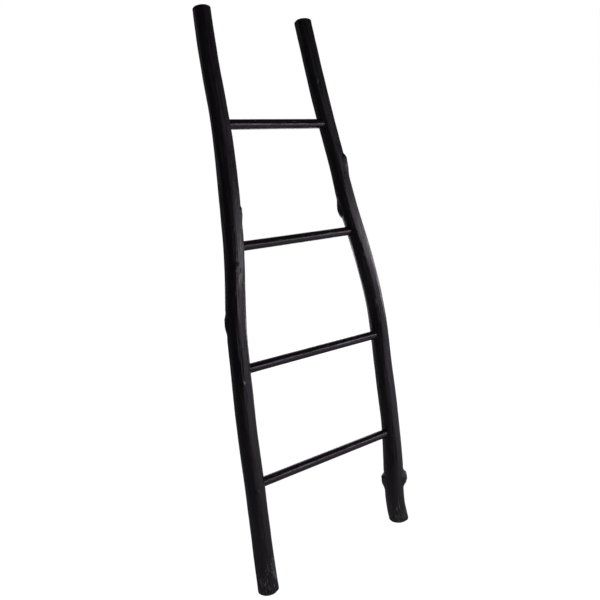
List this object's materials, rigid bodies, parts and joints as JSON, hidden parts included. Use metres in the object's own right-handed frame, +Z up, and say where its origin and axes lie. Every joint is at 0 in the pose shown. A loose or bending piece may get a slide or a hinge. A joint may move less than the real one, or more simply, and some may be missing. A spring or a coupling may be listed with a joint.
{
  "type": "leaning ladder",
  "caption": "Rustic leaning ladder of two crooked branch rails joined by round dowel rungs, stained black, for hanging throws and towels.",
  "frame": {"origin": "on the floor, under the middle of the ladder's box", "axes": "+X along the rungs, to the right as seen from the front; +Y towards the wall that the ladder leans on; +Z up. The ladder leans back 14.85 degrees."},
  "size_m": [0.5572, 0.4366, 1.4719],
  "materials": {
    "branch_wood": "peeled branch under near-black stain, satin where rubbed",
    "dowel_wood": "turned dowel under the same near-black stain, satin",
    "brad_steel": "dull, stained over"
  },
  "bodies": {
    "root": {"left_rail": "branch_wood", "right_rail": "branch_wood", "rung_1": "dowel_wood", "rung_2": "dowel_wood", "rung_3": "dowel_wood", "rung_4": "dowel_wood", "brad_1_left": "brad_steel", "brad_1_right": "brad_steel", "brad_2_left": "brad_steel", "brad_2_right": "brad_steel", "brad_3_left": "brad_steel", "brad_3_right": "brad_steel", "brad_4_left": "brad_steel", "brad_4_right": "brad_steel"}
  },
  "joints": []
}
